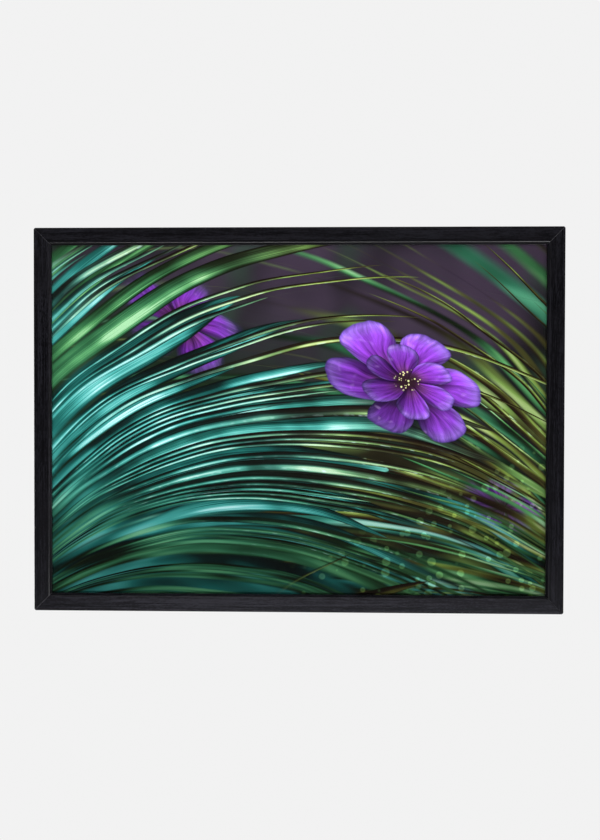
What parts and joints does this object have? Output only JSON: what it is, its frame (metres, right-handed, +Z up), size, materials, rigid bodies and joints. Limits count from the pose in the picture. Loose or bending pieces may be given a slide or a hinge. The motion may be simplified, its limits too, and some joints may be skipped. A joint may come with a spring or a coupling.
{
  "type": "framed picture",
  "caption": "Landscape picture frame of black-stained wood with mitred corners, glass, a full-bleed botanical print, a backing board and sawtooth hangers for a wall.",
  "frame": {"origin": "where the picture hangs: at mid-width, in the plane of the rails' back faces, at the height where nails bear under the teeth of both hangers", "axes": "+X along the width, to the right as seen from the front; +Y out of the back, towards the wall; +Z up; the picture faces -Y"},
  "size_m": [0.73, 0.0257, 0.53],
  "materials": {
    "black_wood": "black-stained open grain, satin",
    "clear_glass": "clear float glass, polished",
    "print_paper": "printed in dark greens, teals and violets, semi-matte",
    "hardboard": "bare brown hardboard, fine fibre speckle",
    "zinc_steel": "zinc-plated sheet steel, satin",
    "rubber": "matte black"
  },
  "bodies": {
    "root": {"rail_top": "black_wood", "rail_right": "black_wood", "rail_bottom": "black_wood", "rail_left": "black_wood", "glazing": "clear_glass", "print": "print_paper", "backing_board": "hardboard", "tab_top_1": "zinc_steel", "tab_top_2": "zinc_steel", "tab_top_3": "zinc_steel", "tab_top_4": "zinc_steel", "tab_right_1": "zinc_steel", "tab_right_2": "zinc_steel", "tab_right_3": "zinc_steel", "tab_bottom_1": "zinc_steel", "tab_bottom_2": "zinc_steel", "tab_bottom_3": "zinc_steel", "tab_bottom_4": "zinc_steel", "tab_left_1": "zinc_steel", "tab_left_2": "zinc_steel", "tab_left_3": "zinc_steel", "v_nail_top_left_1": "zinc_steel", "v_nail_top_left_2": "zinc_steel", "v_nail_top_right_1": "zinc_steel", "v_nail_top_right_2": "zinc_steel", "v_nail_bottom_right_1": "zinc_steel", "v_nail_bottom_right_2": "zinc_steel", "v_nail_bottom_left_1": "zinc_steel", "v_nail_bottom_left_2": "zinc_steel", "hanger_left": "zinc_steel", "hanger_right": "zinc_steel", "hanger_screw_left_1": "zinc_steel", "hanger_screw_left_2": "zinc_steel", "hanger_screw_right_1": "zinc_steel", "hanger_screw_right_2": "zinc_steel", "bumper_left": "rubber", "bumper_right": "rubber"}
  },
  "joints": []
}
